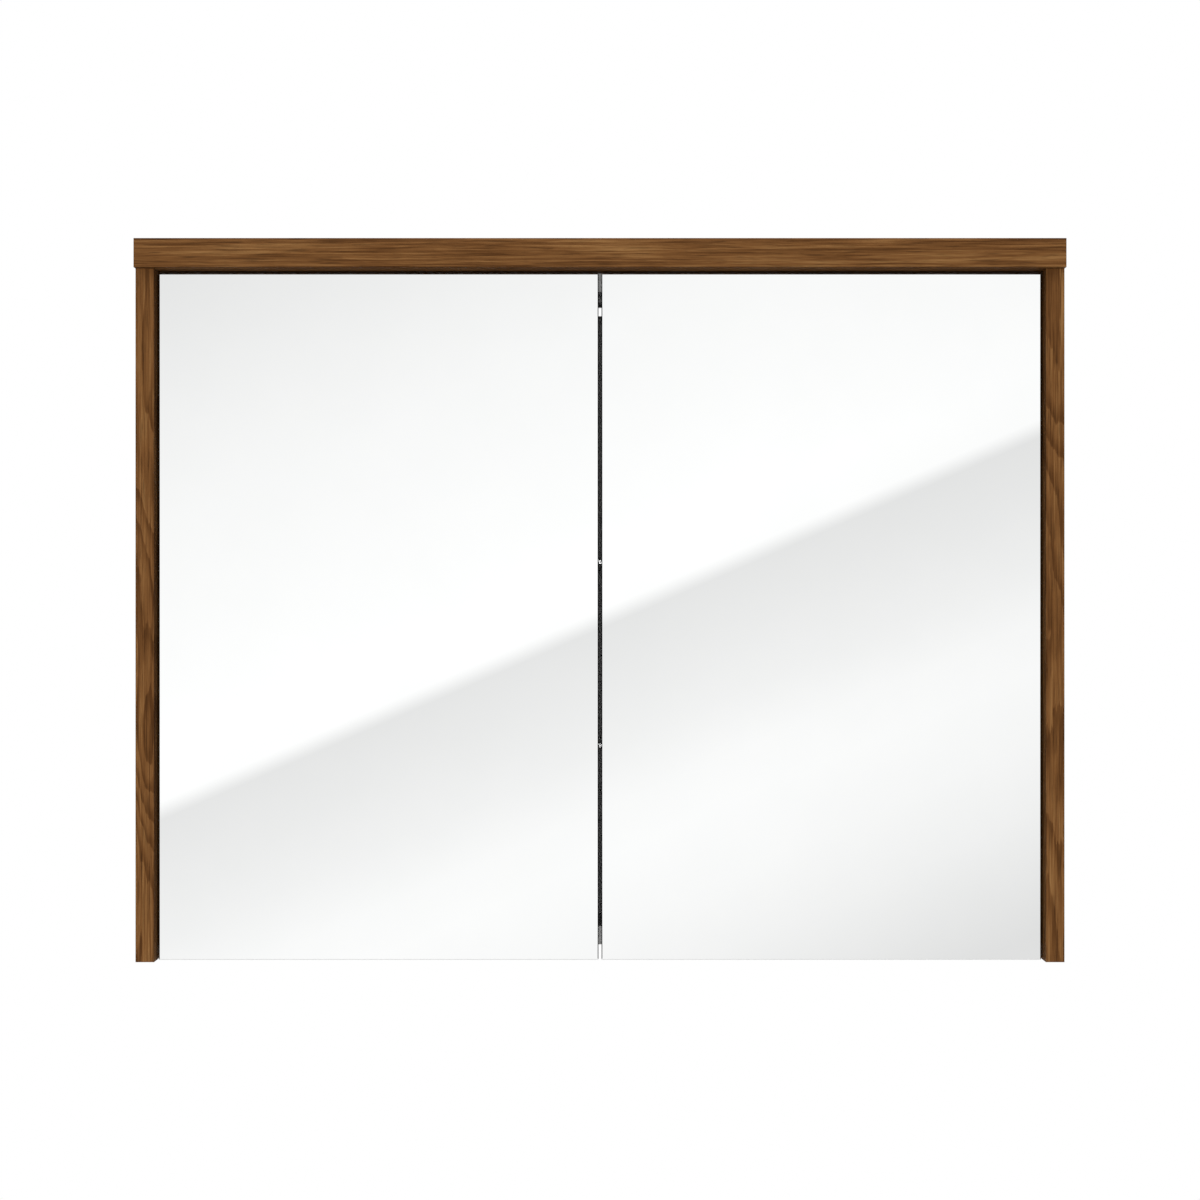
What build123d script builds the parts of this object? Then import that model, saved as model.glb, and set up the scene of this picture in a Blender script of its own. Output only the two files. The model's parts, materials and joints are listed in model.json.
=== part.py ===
from build123d import *
import math
import os

# Wall-hung mirror cabinet with two mirrored doors in a walnut surround.
# Millimetres. X runs to the right, the doors face -Y, the wall is the plane Y = 0 and Z is up.
# The origin is the middle of the four wall screws.

OVERSHOOT = 1.0  # how far a cutting shape runs past the face it opens
CLOSE = 0.01  # places nearer than this are the same

# Whole cabinet
WIDTH = 900.0
HEIGHT = 700.0
DEPTH = 160.0
FIXING_DROP = 90.0  # wall screws below the top of the cabinet

# Walnut surround
TOP_THICK = 28.0
SIDE_THICK = 18.0
SIDE_SETBACK = 10.0  # side boards behind the front edge of the top
EDGE_ROUND = 1.0

# Doors
RECESS = 15.5  # mirrors behind the front edges of the side boards
MIRROR_THICK = 4.0
BOARD_THICK = 16.0
REAR_MIRROR_THICK = 3.0
DOOR_SIDE_GAP = 2.0
DOOR_CENTRE_GAP = 3.0
DOOR_TOP_GAP = 3.0
DOOR_BACK_GAP = 2.0
MIRROR_BEVEL = 0.8
REAR_MIRROR_HINGE_MARGIN = 62.0
REAR_MIRROR_FREE_MARGIN = 22.0
REAR_MIRROR_END_MARGIN = 44.0
BUMPER_RADIUS = 4.0
BUMPER_INSET = 9.0
BUMPER_PLAY = 0.3
BUMPER_BEVEL = 0.8

# Grey carcass inside the surround
CARCASS_THICK = 18.0
GRIP_DROP = 12.0  # doors and side boards reach this far below the carcass floor
BACK_THICK = 4.0
BACK_VOID = 14.0
GROOVE_DEPTH = 6.0
GROOVE_PLAY = 0.15

# Cable slot at the top of the back panel
CABLE_SLOT_WIDTH = 36.0
CABLE_SLOT_HEIGHT = 9.0
CABLE_SLOT_DROP = 8.2  # middle of the slot below the top board
GROMMET_WALL = 1.2
GROMMET_LIP = 1.4
GROMMET_LIP_THICK = 1.0
GROMMET_PLAY = 0.15

# Glass shelves and their supports
SHELF_THICK = 5.0
LOWER_SHELF_HEIGHT = 175.0  # underside above the cabinet floor
UPPER_SHELF_HEIGHT = 356.0
SHELF_SIDE_PLAY = 1.0
SHELF_FRONT_SETBACK = 6.0
SHELF_REAR_PLAY = 2.0
SHELF_BEVEL = 0.6
PEG_RADIUS = 2.5
PEG_DEPTH = 9.0
PEG_PLAY = 0.05
PEG_TONGUE_LENGTH = 9.0
PEG_TONGUE_WIDTH = 10.0
PEG_TONGUE_THICK = 3.0
HOLE_LINE = 37.0  # front row of drilled holes behind the carcass front
REAR_HOLE_LINE = 22.0  # rear row in front of the back panel
HOLE_PITCH = 32.0
SPARE_HOLES = 1  # spare peg holes above and below each used one

# Dowels and surround screws
DOWEL_RADIUS = 4.0
DOWEL_LENGTH = 34.0
DOWEL_IN_SIDE = 12.0
DOWEL_END_PLAY = 1.0
DOWEL_INSET = 25.0
SCREW_SHANK_RADIUS = 2.0
SCREW_HEAD_RADIUS = 4.0
SCREW_HEAD_DEPTH = 3.0
SCREW_BITE = 12.0
SCREW_FRONT_INSET = 22.0
SCREW_REAR_INSET = 12.0
SCREW_END_INSET = 150.0
TOP_SCREW_SPACING = 210.0
TOP_SCREW_COUNT = 4
RECESS_REACH = 0.62  # cross recess, as a share of the head's radius
RECESS_SLOT = 0.2
CAP_RADIUS = 6.0
CAP_THICK = 1.2

# Cabinet hangers and their wall plates
HANGER_WIDTH = 15.0
HANGER_LENGTH = 62.0
HANGER_HEIGHT = 60.0
HANGER_DROP = 4.0  # below the top board
HANGER_STEEL = 1.5
HANGER_BACK_PLAY = 1.0
HOOK_THICK = 2.5
HOOK_HEIGHT = 5.5
HOOK_MIDDLE = 7.0  # middle of the hook from the carcass side
HOOK_TONGUE = 6.0  # behind the lip of the wall plate
HOOK_LIP_PLAY = 1.0
HOOK_LEVER_LENGTH = 20.0
HOOK_LEVER_DROP = 40.0
HANGER_PIN_RADIUS = 4.0
HANGER_PIN_LENGTH = 8.0
HANGER_PIN_SPACING = 32.0
COVER_WALL = 1.2
COVER_PLAY = 0.3
ADJUSTER_RADIUS = 3.2
ADJUSTER_SPACING = 20.0
COVER_HOLE_RADIUS = 4.2
COVER_ROUND = 1.0
NOTCH_PLAY = 3.0
PLATE_WIDTH = 42.0
PLATE_SIDE_GAP = 3.0  # between a wall plate and the carcass side next to it
PLATE_STEEL = 2.5
PLATE_HOLE_RADIUS = 3.5
PLATE_HOLE_SPACING = 25.0
PLATE_FOOT = 12.0  # plate below its lower hole
PLATE_LIP_RISE = 20.0  # top of the lip above the upper hole
PLATE_LIP_HEIGHT = 8.0
PLATE_LIP_GAP = 5.0  # room for the hook behind the lip
PLATE_BEND = 2.0

# Concealed hinges, in a plan with u from the side board to the middle and v from the mirror back
HINGE_INSET = 110.0  # hinge middles from the top and bottom edges of a door
CUP_TAB = 4.0  # door edge to cup
CUP_RADIUS = 17.5
CUP_DEPTH = 12.5
CUP_WALL = 1.1
CUP_FLOOR = 0.8
CUP_PLAY = 0.1
FLANGE_THICK = 1.2
FLANGE_RADIUS = 19.3
FLANGE_CUT = 4.0  # the flange stops this far on the door-edge side of the cup's middle
WING_WIDTH = 13.0
WING_LENGTH = 60.0
WING_OFFSET = 9.5
CUP_SCREW_SPACING = 48.0
CUP_SCREW_RADIUS = 1.8
CUP_SCREW_HEAD_RADIUS = 3.6
CUP_SCREW_HEAD = 1.4
CUP_SCREW_RECESS = 1.0
CUP_SCREW_LENGTH = 10.0

# Pivots of the links
OUTER_ARM_PIVOT_U = 11.9  # from the inner face of the carcass side
OUTER_ARM_PIVOT_V = 12.4  # behind the carcass front
OUTER_CUP_PIVOT_U = 9.6  # from the hinge edge of the door
OUTER_CUP_PIVOT_V = 6.9  # in front of the back face of the door
INNER_ARM_STEP = (13.1, -7.2)  # from the outer arm pivot
INNER_CUP_STEP = (5.7, 2.0)  # from the outer cup pivot
INNER_TIP_STEP = (6.2, 0.6)  # end of the inner link with the door closed
ARM_PIN_RADIUS = 1.2
CUP_PIN_RADIUS = 0.9
SHORT_PIN_RADIUS = 0.8
PIN_PLAY = 0.05
INNER_LINK_SLACK = 1.6  # room round the short pin, where the linkage is opened
LINK_STEEL = 1.5
LINK_BEND = 4.0
OUTER_EYE_RADIUS = 2.4
SMALL_EYE_RADIUS = 1.9
EYE_WALL = 0.6
OUTER_BEND_1 = (7.6, -4.1)  # first bend, from the cup pivot
OUTER_BEND_2 = (-0.9, -17.8)  # second bend, from the arm pivot
INNER_BEND = (9.6, 0.0)  # bend, from the tip
INNER_HALF = 1.8  # half widths along Z, from the middle of the hinge out
EAR_IN = 2.1
EAR_OUT = 2.9
FORK_IN = 3.3
FORK_OUT = 5.3
CHEEK_IN = 5.7
CHEEK_OUT = 7.0
EAR_RADIUS = 2.2

# Arm and mounting plate
ARM_NOSE_RADIUS = 3.4
ARM_HEIGHT = 16.0  # top of the arm above the carcass side
ARM_FOOT = 6.0  # open lower edges of the arm above the carcass side
ARM_SLOPE_END = 50.0  # v where the raised nose comes down to the arm
ARM_END = 94.0
ARM_STEEL = 1.3
ARM_MOUTH = 4.0  # height over which the arm's inside is open to its lower edges
RIDGE_HALF = 5.4
RIDGE_START = 52.0
RIDGE_END = 90.0
RIDGE_PLAY = 0.4
BASE_THICK = 3.0
BASE_HALF_WIDTH = 9.0
BASE_HALF_LENGTH = 23.0
BASE_ROUND = 6.0
BASE_SCREW_SPACING = 32.0
BASE_SCREW_RADIUS = 2.0
BASE_SCREW_HEAD_RADIUS = 3.8
BASE_SCREW_HEAD = 1.8
BASE_SCREW_RECESS = 1.3
BASE_SCREW_LENGTH = 11.0
ADJUST_SCREW_RADIUS = 2.6
ADJUST_SCREW_HEAD = 1.2
ADJUST_SCREW_DEPTH = 4.8
ADJUST_SCREW_MARGIN = 7.8  # screw middles from the ends of the ridge
SPRING_STEEL = 0.7
SPRING_HALF = 4.0

# Places worked out from the sizes above
X_OUT = WIDTH / 2
X_SIDE = X_OUT - SIDE_THICK
X_BAY = X_SIDE - CARCASS_THICK
Z_TOP = FIXING_DROP
Z_UNDER_TOP = Z_TOP - TOP_THICK
Z_BAY_TOP = Z_UNDER_TOP - CARCASS_THICK
Z_BASE = Z_TOP - HEIGHT
Z_FLOOR_UNDER = Z_BASE + GRIP_DROP
Z_FLOOR = Z_FLOOR_UNDER + CARCASS_THICK
Y_SIDE_FRONT = SIDE_SETBACK - DEPTH
Y_DOOR = Y_SIDE_FRONT + RECESS
DOOR_THICK = MIRROR_THICK + BOARD_THICK
Y_DOOR_BACK = Y_DOOR + DOOR_THICK
Y_CARCASS = Y_DOOR_BACK + DOOR_BACK_GAP
Y_BACK_REAR = -BACK_VOID
Y_BACK_FRONT = Y_BACK_REAR - BACK_THICK
X_DOOR_OUT = X_SIDE - DOOR_SIDE_GAP
X_DOOR_IN = DOOR_CENTRE_GAP / 2
Z_DOOR_TOP = Z_UNDER_TOP - DOOR_TOP_GAP
Y_FRONT_HOLES = Y_CARCASS + HOLE_LINE
Y_REAR_HOLES = Y_BACK_FRONT - REAR_HOLE_LINE
SHELF_HEIGHTS = {"upper": UPPER_SHELF_HEIGHT, "lower": LOWER_SHELF_HEIGHT}
CUP_U = DOOR_SIDE_GAP + CUP_TAB + CUP_RADIUS
WING_U = CUP_U + WING_OFFSET
V_CARCASS = DOOR_THICK + DOOR_BACK_GAP
V_CUP_HOLE = DOOR_THICK - CUP_DEPTH
V_CUP_FLOOR = V_CUP_HOLE + CUP_FLOOR
V_FLANGE = DOOR_THICK + FLANGE_THICK
V_BASE_SCREWS = V_CARCASS + HOLE_LINE
HINGE_HEIGHTS = (Z_DOOR_TOP - HINGE_INSET, Z_BASE + HINGE_INSET)
PLATE_SPACING = 2 * (X_BAY - PLATE_SIDE_GAP) - PLATE_WIDTH  # between the middles of the plates
Z_LIP_TOP = PLATE_HOLE_SPACING / 2 + PLATE_LIP_RISE
Z_HANGER_TOP = Z_BAY_TOP - HANGER_DROP
Y_HANGER_BACK = Y_BACK_FRONT - HANGER_BACK_PLAY
Y_LEVER_FRONT = Y_HANGER_BACK - HANGER_LENGTH / 2


def block(x0, x1, y0, y1, z0, z1):
    """A square-edged block between two corners."""
    size = Box(x1 - x0, y1 - y0, z1 - z0)
    return Pos((x0 + x1) / 2, (y0 + y1) / 2, (z0 + z1) / 2) * size


def rod_x(radius, x0, x1, y, z):
    """A round bar along X."""
    return Pos((x0 + x1) / 2, y, z) * Rot(0, 90, 0) * Cylinder(radius, abs(x1 - x0))


def rod_y(radius, y0, y1, x, z):
    """A round bar along Y."""
    return Pos(x, (y0 + y1) / 2, z) * Rot(90, 0, 0) * Cylinder(radius, abs(y1 - y0))


def rod_z(radius, z0, z1, x, y):
    """A round bar along Z."""
    return Pos(x, y, (z0 + z1) / 2) * Cylinder(radius, abs(z1 - z0))


def cross(radius, depth):
    """A cross recess for a screwdriver, sunk from Z = 0 downwards."""
    reach = 2 * RECESS_REACH * radius
    slot = 2 * RECESS_SLOT * radius
    bars = Box(reach, slot, depth) + Box(slot, reach, depth)
    return Pos(0, 0, -depth / 2) * bars


def other_side(shape):
    """The same piece mirrored to the right-hand side."""
    return mirror(shape, about=Plane.YZ)


def front_edges(shape, y):
    """Edges of a board that lie in its front face."""
    return shape.edges().filter_by(lambda e: abs(e.center().Y - y) < CLOSE)


def save(node, *solids):
    """Write one node as one file, with each of its pieces a separate solid."""
    shape = solids[0] if len(solids) == 1 else Compound(list(solids))
    export_step(shape, f"parts/{node}.step")


def step(point, move):
    """A plan point moved by a plan step."""
    return (point[0] + move[0], point[1] + move[1])


ARM_PIVOT = (CARCASS_THICK + OUTER_ARM_PIVOT_U, V_CARCASS + OUTER_ARM_PIVOT_V)
CUP_PIVOT = (DOOR_SIDE_GAP + OUTER_CUP_PIVOT_U, DOOR_THICK - OUTER_CUP_PIVOT_V)
INNER_ARM_PIVOT = step(ARM_PIVOT, INNER_ARM_STEP)
INNER_CUP_PIVOT = step(CUP_PIVOT, INNER_CUP_STEP)
INNER_TIP = step(CUP_PIVOT, INNER_TIP_STEP)


def plan(point):
    """A hinge plan point as X and Y of the left-hand hinges."""
    return (point[0] - X_SIDE, point[1] + Y_DOOR)


def plate(sketch, z0, z1):
    """A flat plan outline given a thickness from z0 to z1."""
    return Pos(0, 0, z0) * extrude(sketch, z1 - z0, dir=(0, 0, 1))


def disc(point, radius):
    """A round plan outline."""
    x, y = plan(point)
    return Pos(x, y) * Circle(radius)


def strip(points, thick):
    """A bent strip of even thickness along plan points."""
    line = FilletPolyline(*[plan(p) for p in points], radius=LINK_BEND)
    return trace(line, thick)


def plan_block(u0, u1, v0, v1, z0, z1):
    """A square-edged block in the hinge plan."""
    x0, y0 = plan((u0, v0))
    x1, y1 = plan((u1, v1))
    return block(x0, x1, y0, y1, z0, z1)


def plan_rod(point, radius, z0, z1):
    """A round bar along Z through a plan point."""
    x, y = plan(point)
    return rod_z(radius, z0, z1, x, y)


def both_hinges(piece):
    """One hinge piece copied to the heights of the two hinges of a door."""
    return [Pos(0, 0, z) * piece for z in HINGE_HEIGHTS]


def hinge_pin_solids():
    """The long cup pin and the short pin between the ears of the cup."""
    off_middle = CUP_U - CUP_PIVOT[0] + CUP_PIN_RADIUS
    reach = math.sqrt(CUP_RADIUS**2 - off_middle**2) - CUP_PLAY
    long_pin = plan_rod(CUP_PIVOT, CUP_PIN_RADIUS, -reach, reach)
    short_pin = plan_rod(INNER_CUP_PIVOT, SHORT_PIN_RADIUS, -EAR_OUT, EAR_OUT)
    return [long_pin, short_pin]


def hinge_cup():
    """The cup sunk in the back of the door, with its flange, wings and ears."""
    x_cup, y_hole = plan((CUP_U, V_CUP_HOLE))
    y_face = plan((CUP_U, DOOR_THICK))[1]
    y_flange = plan((CUP_U, V_FLANGE))[1]
    y_floor = plan((CUP_U, V_CUP_FLOOR))[1]
    cup = rod_y(CUP_RADIUS, y_hole, y_face, x_cup, 0)
    wings = RectangleRounded(WING_WIDTH, WING_LENGTH, WING_WIDTH / 3)
    rim = Circle(FLANGE_RADIUS) + Pos(WING_OFFSET, 0) * wings
    cut_edge = -FLANGE_CUT - FLANGE_RADIUS
    rim -= Pos(cut_edge, 0) * Rectangle(2 * FLANGE_RADIUS, 3 * FLANGE_RADIUS)
    face = Plane(origin=(x_cup, y_face, 0), x_dir=(1, 0, 0), z_dir=(0, -1, 0))
    cup += extrude(face * rim, FLANGE_THICK, dir=(0, 1, 0))
    cup -= rod_y(CUP_RADIUS - CUP_WALL, y_floor, y_flange + OVERSHOOT, x_cup, 0)
    ear = disc(INNER_CUP_PIVOT, EAR_RADIUS)
    foot = (INNER_CUP_PIVOT[0], V_CUP_FLOOR)
    fx, fy = plan(foot)
    ear_height = INNER_CUP_PIVOT[1] - V_CUP_FLOOR
    ear += Pos(fx, fy + ear_height / 2) * Rectangle(2 * EAR_RADIUS, ear_height)
    cup += plate(ear, EAR_IN, EAR_OUT)
    cup += plate(ear, -EAR_OUT, -EAR_IN)
    for pin in hinge_pin_solids():
        cup -= pin
    for side in (-1, 1):
        x_screw = plan((WING_U, 0))[0]
        z_screw = side * CUP_SCREW_SPACING / 2
        cup -= rod_y(CUP_SCREW_RADIUS, y_face, y_flange + OVERSHOOT, x_screw, z_screw)
    return cup


def cup_screws():
    """The two wood screws that hold one cup."""
    x = plan((WING_U, 0))[0]
    y_flange = plan((0, V_FLANGE))[1]
    screws = []
    for side in (-1, 1):
        z = side * CUP_SCREW_SPACING / 2
        shank = rod_y(CUP_SCREW_RADIUS, y_flange - CUP_SCREW_LENGTH, y_flange, x, z)
        head = rod_y(CUP_SCREW_HEAD_RADIUS, y_flange, y_flange + CUP_SCREW_HEAD, x, z)
        recess = Rot(-90, 0, 0) * cross(CUP_SCREW_HEAD_RADIUS, CUP_SCREW_RECESS)
        screws.append(shank + head - Pos(x, y_flange + CUP_SCREW_HEAD, z) * recess)
    return screws


def outer_link():
    """The forked link: an eye across the arm and two legs that reach into the cup."""
    points = [CUP_PIVOT, step(CUP_PIVOT, OUTER_BEND_1), step(ARM_PIVOT, OUTER_BEND_2), ARM_PIVOT]
    leg = strip(points, LINK_STEEL) + disc(CUP_PIVOT, SMALL_EYE_RADIUS)
    leg += disc(ARM_PIVOT, OUTER_EYE_RADIUS)
    leg -= disc(CUP_PIVOT, CUP_PIN_RADIUS + PIN_PLAY)
    leg -= disc(ARM_PIVOT, ARM_PIN_RADIUS + PIN_PLAY)
    web_start = (ARM_PIVOT[0] - LINK_STEEL / 4, ARM_PIVOT[1] - 2 * LINK_BEND)
    web = trace(Line(plan(web_start), plan(ARM_PIVOT)), LINK_STEEL)
    web += disc(ARM_PIVOT, OUTER_EYE_RADIUS)
    web -= disc(ARM_PIVOT, ARM_PIN_RADIUS + PIN_PLAY)
    link = plate(leg, FORK_IN, FORK_OUT) + plate(leg, -FORK_OUT, -FORK_IN)
    return link + plate(web, -FORK_IN, FORK_IN)


def inner_link():
    """The narrow link between the legs, with a roomy eye round the short pin."""
    eye = SHORT_PIN_RADIUS + INNER_LINK_SLACK
    body = strip([INNER_TIP, step(INNER_TIP, INNER_BEND), INNER_ARM_PIVOT], LINK_STEEL)
    body += disc(INNER_TIP, eye + EYE_WALL) + disc(INNER_ARM_PIVOT, OUTER_EYE_RADIUS)
    body -= disc(INNER_TIP, eye)
    hub = disc(INNER_ARM_PIVOT, OUTER_EYE_RADIUS)
    bore = plan_rod(INNER_ARM_PIVOT, ARM_PIN_RADIUS + PIN_PLAY, -CHEEK_OUT, CHEEK_OUT)
    return plate(body, -INNER_HALF, INNER_HALF) + plate(hub, -FORK_OUT, FORK_OUT) - bore


def arm_pins():
    """The two pins of one arm, across both cheeks."""
    ends = (-CHEEK_OUT, CHEEK_OUT)
    return [plan_rod(p, ARM_PIN_RADIUS, *ends) for p in (ARM_PIVOT, INNER_ARM_PIVOT)]


def arm_outline(inset):
    """The side view of the arm: a raised nose round both pins, then a straight channel."""
    top = CARCASS_THICK + ARM_HEIGHT
    nose_u = INNER_ARM_PIVOT[0] + ARM_NOSE_RADIUS
    nose_v = INNER_ARM_PIVOT[1]
    low = CARCASS_THICK + ARM_FOOT
    corners = [
        (nose_u - inset, nose_v),
        (nose_u - inset, ARM_PIVOT[1]),
        (top - inset, ARM_SLOPE_END),
        (top - inset, ARM_END),
        (low, ARM_END),
        (low, ARM_PIVOT[1] + ARM_NOSE_RADIUS),
        (ARM_PIVOT[0] - ARM_NOSE_RADIUS, ARM_PIVOT[1]),
        (ARM_PIVOT[0], ARM_PIVOT[1] - ARM_NOSE_RADIUS),
        (INNER_ARM_PIVOT[0], INNER_ARM_PIVOT[1] - ARM_NOSE_RADIUS),
    ]
    outline = make_face(Polyline(*[plan(c) for c in corners], close=True))
    for pivot in (ARM_PIVOT, INNER_ARM_PIVOT):
        outline += disc(pivot, ARM_NOSE_RADIUS - inset)
    return outline


def hinge_arm():
    """The folded steel arm, open towards the carcass side, with its pin and screw holes."""
    arm = plate(arm_outline(0), -CHEEK_OUT, CHEEK_OUT)
    hollow = plate(arm_outline(ARM_STEEL), -CHEEK_IN, CHEEK_IN)
    low = CARCASS_THICK + ARM_FOOT
    rear = ARM_END + OVERSHOOT
    mouth = (low - OVERSHOOT, low + ARM_MOUTH, ARM_PIVOT[1], rear)
    channel = (low, CARCASS_THICK + ARM_HEIGHT - ARM_STEEL, ARM_SLOPE_END, rear)
    nose_u = INNER_ARM_PIVOT[0] + ARM_NOSE_RADIUS + OVERSHOOT
    nose_v = INNER_ARM_PIVOT[1] - ARM_NOSE_RADIUS - OVERSHOOT
    nose = (CARCASS_THICK, nose_u, nose_v, ARM_PIVOT[1])
    for opening in (mouth, channel, nose):
        hollow += plan_block(*opening, -CHEEK_IN, CHEEK_IN)
    arm -= hollow
    for pin in arm_pins():
        arm -= pin
    for screw in adjuster_rods(PIN_PLAY):
        arm -= screw
    return arm


def adjuster_rods(play=0.0):
    """The side and depth adjusting screws of one arm, as plain round bars."""
    top = CARCASS_THICK + ARM_HEIGHT
    rods = []
    for v in (RIDGE_START + ADJUST_SCREW_MARGIN, RIDGE_END - ADJUST_SCREW_MARGIN):
        x0, y = plan((top - ADJUST_SCREW_DEPTH, v))
        x1 = plan((top + ADJUST_SCREW_HEAD, v))[0]
        rods.append(rod_x(ADJUST_SCREW_RADIUS + play, x0, x1, y, 0))
    return rods


def adjusters():
    """The adjusting screws of one arm, with their cross recesses."""
    recess = Rot(0, 90, 0) * cross(ADJUST_SCREW_RADIUS, ADJUST_SCREW_HEAD)
    head_end = CARCASS_THICK + ARM_HEIGHT + ADJUST_SCREW_HEAD - X_SIDE
    return [rod - Pos(head_end, rod.center().Y, 0) * recess for rod in adjuster_rods()]


def hinge_plate():
    """The winged mounting plate on the carcass side, with the ridge that carries the arm."""
    x0, y_mid = plan((CARCASS_THICK, V_BASE_SCREWS))
    wings = RectangleRounded(2 * BASE_HALF_WIDTH, 2 * BASE_HALF_LENGTH, BASE_ROUND)
    face = Plane(origin=(x0, y_mid, 0), x_dir=(0, 1, 0), z_dir=(1, 0, 0))
    base = extrude(face * wings, BASE_THICK, dir=(1, 0, 0))
    ridge_top = CARCASS_THICK + ARM_HEIGHT - ARM_STEEL - RIDGE_PLAY
    ridge = plan_block(CARCASS_THICK, ridge_top, RIDGE_START, RIDGE_END, -RIDGE_HALF, RIDGE_HALF)
    base += ridge
    for screw in adjuster_rods():
        base -= screw
    for side in (-1, 1):
        z = side * BASE_SCREW_SPACING / 2
        base -= rod_x(BASE_SCREW_RADIUS, x0, x0 + BASE_THICK + OVERSHOOT, y_mid, z)
    return base


def plate_screws():
    """The two screws that hold one mounting plate to the carcass side."""
    x0, y = plan((CARCASS_THICK, V_BASE_SCREWS))
    face = x0 + BASE_THICK
    screws = []
    for side in (-1, 1):
        z = side * BASE_SCREW_SPACING / 2
        shank = rod_x(BASE_SCREW_RADIUS, face - BASE_SCREW_LENGTH - BASE_THICK, face, y, z)
        head = rod_x(BASE_SCREW_HEAD_RADIUS, face, face + BASE_SCREW_HEAD, y, z)
        recess = Rot(0, 90, 0) * cross(BASE_SCREW_HEAD_RADIUS, BASE_SCREW_RECESS)
        screws.append(shank + head - Pos(face + BASE_SCREW_HEAD, y, z) * recess)
    return screws


def closing_spring():
    """The leaf spring in the arm that keeps the door shut."""
    top = CARCASS_THICK + ARM_HEIGHT - ARM_STEEL - RIDGE_PLAY
    start = (top - SPRING_STEEL, RIDGE_START - PIN_PLAY)
    knee = (top - SPRING_STEEL, RIDGE_START - 2 * LINK_BEND)
    tip = (ARM_PIVOT[0] + OUTER_EYE_RADIUS + SPRING_STEEL, ARM_PIVOT[1] + LINK_BEND / 2)
    return plate(strip([start, knee, tip], SPRING_STEEL), -SPRING_HALF, SPRING_HALF)


def side_screw_places():
    """Y and Z of the screws between a carcass side and its walnut board."""
    rows = (Y_CARCASS + SCREW_FRONT_INSET, Y_BACK_FRONT - SCREW_REAR_INSET)
    heights = (Z_BAY_TOP - SCREW_END_INSET, Z_FLOOR + SCREW_END_INSET)
    return [(y, z) for y in rows for z in heights]


def top_screw_places():
    """X and Y of the screws between the inner and the walnut top."""
    rows = (Y_CARCASS + SCREW_FRONT_INSET, Y_BACK_FRONT - SCREW_REAR_INSET)
    middle = (TOP_SCREW_COUNT - 1) / 2
    columns = [(i - middle) * TOP_SCREW_SPACING for i in range(TOP_SCREW_COUNT)]
    return [(x, y) for x in columns for y in rows]


def side_screws():
    """Screws from inside the left carcass side into the walnut."""
    screws = []
    for y, z in side_screw_places():
        head = rod_x(SCREW_HEAD_RADIUS, -X_BAY, -X_BAY - SCREW_HEAD_DEPTH, y, z)
        shank = rod_x(SCREW_SHANK_RADIUS, -X_BAY, -X_SIDE - SCREW_BITE, y, z)
        screws.append(head + shank)
    return screws


def top_screws():
    """Screws from under the inner top into the walnut top."""
    screws = []
    for x, y in top_screw_places():
        head = rod_z(SCREW_HEAD_RADIUS, Z_BAY_TOP, Z_BAY_TOP + SCREW_HEAD_DEPTH, x, y)
        shank = rod_z(SCREW_SHANK_RADIUS, Z_BAY_TOP, Z_UNDER_TOP + SCREW_BITE, x, y)
        screws.append(head + shank)
    return screws


def screw_caps():
    """Flat caps with a bevelled rim over the heads of the surround screws."""
    caps = []
    for y, z in side_screw_places():
        cap = rod_x(CAP_RADIUS, -X_BAY, -X_BAY + CAP_THICK, y, z)
        rim = cap.edges().sort_by(Axis.X)[-1]
        caps.append(chamfer(rim, CAP_THICK / 2))
    caps += [other_side(cap) for cap in caps]
    for x, y in top_screw_places():
        cap = rod_z(CAP_RADIUS, Z_BAY_TOP - CAP_THICK, Z_BAY_TOP, x, y)
        rim = cap.edges().sort_by(Axis.Z)[0]
        caps.append(chamfer(rim, CAP_THICK / 2))
    return caps


def dowels(play=0.0):
    """Dowels between the left carcass side and the inner top and bottom."""
    x0 = -X_BAY - DOWEL_IN_SIDE - play
    x1 = -X_BAY - DOWEL_IN_SIDE + DOWEL_LENGTH + play
    rows = (Y_CARCASS + DOWEL_INSET, Y_BACK_FRONT - DOWEL_INSET)
    heights = (Z_BAY_TOP + CARCASS_THICK / 2, Z_FLOOR - CARCASS_THICK / 2)
    return [rod_x(DOWEL_RADIUS, x0, x1, y, z) for y in rows for z in heights]


def surround_top():
    """The thick walnut top, with its front edges eased."""
    top = block(-X_OUT, X_OUT, -DEPTH, 0, Z_UNDER_TOP, Z_TOP)
    top = fillet(front_edges(top, -DEPTH), EDGE_ROUND)
    for screw in top_screws():
        top -= screw
    return top


def surround_side():
    """The left walnut side, with its front and bottom edges eased."""
    side = block(-X_OUT, -X_SIDE, Y_SIDE_FRONT, 0, Z_BASE, Z_UNDER_TOP)
    below_top = Z_UNDER_TOP - EDGE_ROUND
    edges = front_edges(side, Y_SIDE_FRONT).filter_by(lambda e: e.center().Z < below_top)
    side = fillet(edges, EDGE_ROUND)
    for screw in side_screws():
        side -= screw
    return side


def groove():
    """The room for the back panel in the four carcass boards."""
    x = X_BAY + GROOVE_DEPTH
    y0 = Y_BACK_FRONT - GROOVE_PLAY
    y1 = Y_BACK_REAR + GROOVE_PLAY
    return block(-x, x, y0, y1, Z_FLOOR - GROOVE_DEPTH, Z_BAY_TOP + GROOVE_DEPTH)


def peg_heights(height):
    """Peg middles for one shelf: the used one and the spare ones round it."""
    used = Z_FLOOR + height - PEG_RADIUS
    return [used + i * HOLE_PITCH for i in range(-SPARE_HOLES, SPARE_HOLES + 1)]


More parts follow.
